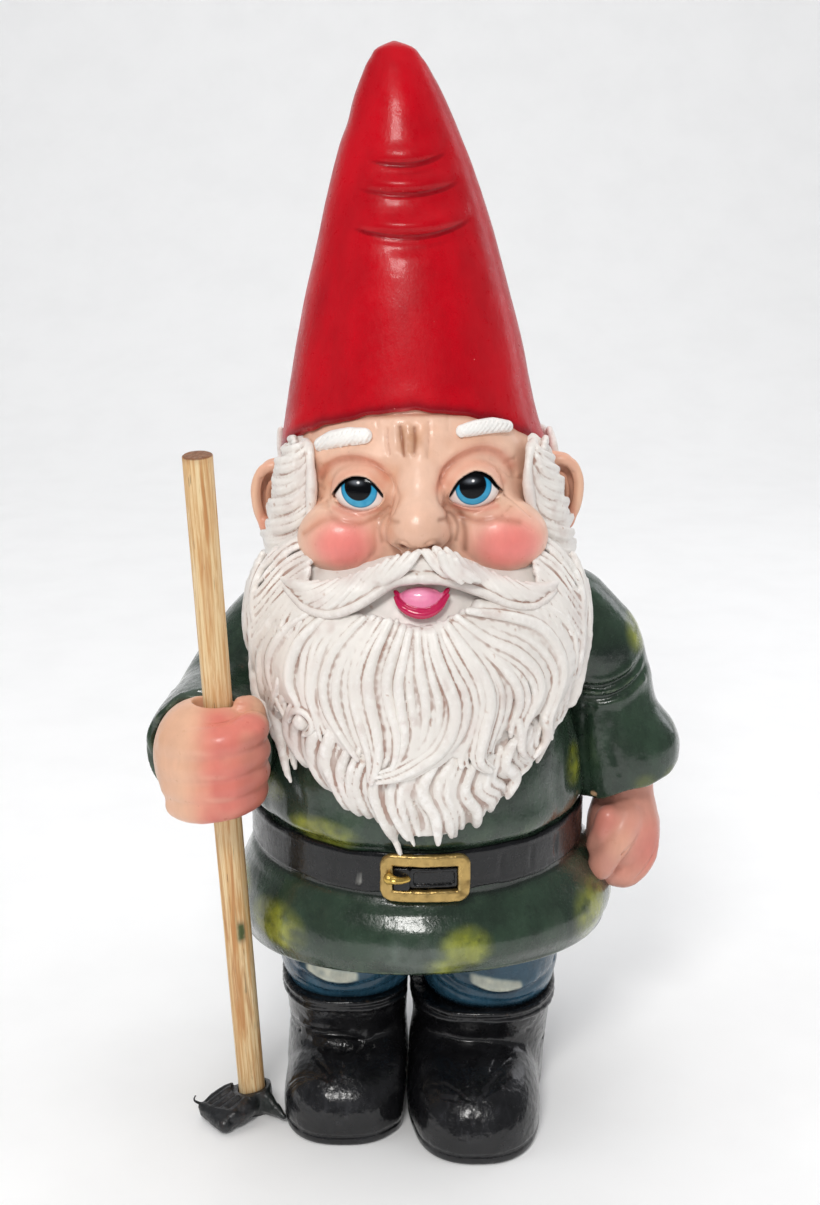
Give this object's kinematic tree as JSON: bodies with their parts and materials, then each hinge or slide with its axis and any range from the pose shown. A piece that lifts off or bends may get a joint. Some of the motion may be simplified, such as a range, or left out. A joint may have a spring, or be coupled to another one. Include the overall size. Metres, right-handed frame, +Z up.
{
  "type": "garden gnome",
  "caption": "Standing bearded garden gnome ornament in a pointed hat and belted tunic, holding an upright wooden-handled mattock that lifts and turns in its fist.",
  "frame": {"origin": "centre of the whole object's footprint, on the ground under the boots", "axes": "+Z up; the figure faces -Y; its right hand, with the mattock, is on the -X side"},
  "size_m": [0.2418, 0.1762, 0.488],
  "materials": {
    "hat_paint": "varnished crimson paint on cast resin",
    "skin_paint": "varnished flesh paint with rosy blush on cast resin",
    "eye_paint": "gloss white with hand-painted blue irises",
    "lip_paint": "gloss crimson and pink",
    "hair_paint": "satin off-white paint with a thin brown wash in the carved grooves",
    "tunic_paint": "varnished dark green paint with brushed olive patches",
    "belt_paint": "varnished black paint",
    "gold_paint": "gold metallic paint",
    "trouser_paint": "varnished blue paint with pale rubbed knees",
    "boot_paint": "gloss black paint",
    "handle_wood": "bare straight-grained softwood dowel",
    "tool_paint": "rough black paint on cast resin"
  },
  "bodies": {
    "figure": {"hat": "hat_paint", "head": "skin_paint", "ear_right": "skin_paint", "eye_right": "eye_paint", "eyebrow_right": "hair_paint", "side_hair_right": "hair_paint", "ear_left": "skin_paint", "eye_left": "eye_paint", "eyebrow_left": "hair_paint", "side_hair_left": "hair_paint", "back_hair": "hair_paint", "moustache": "hair_paint", "mouth": "lip_paint", "beard": "hair_paint", "tunic": "tunic_paint", "belt": "belt_paint", "sleeve_right": "tunic_paint", "sleeve_left": "tunic_paint", "hand_right": "skin_paint", "hand_left": "skin_paint", "belt_buckle": "gold_paint", "buckle_prong": "gold_paint", "trousers": "trouser_paint", "boot_right": "boot_paint", "boot_left": "boot_paint"},
    "staff": {"staff": "handle_wood"},
    "mattock_head": {"mattock_head": "tool_paint"}
  },
  "joints": [
    {"name": "staff_slide", "type": "slide", "parent": "figure", "child": "staff", "axis": [-0.0357, -0.0952, 0.9948], "range_m": [0, 0.045]},
    {"name": "tool_turn", "type": "hinge", "parent": "staff", "child": "mattock_head", "pos_m": [-0.07963, -0.0422, 0.0032], "axis": [-0.0357, -0.0952, 0.9948], "range_deg": [-90, 0]}
  ]
}
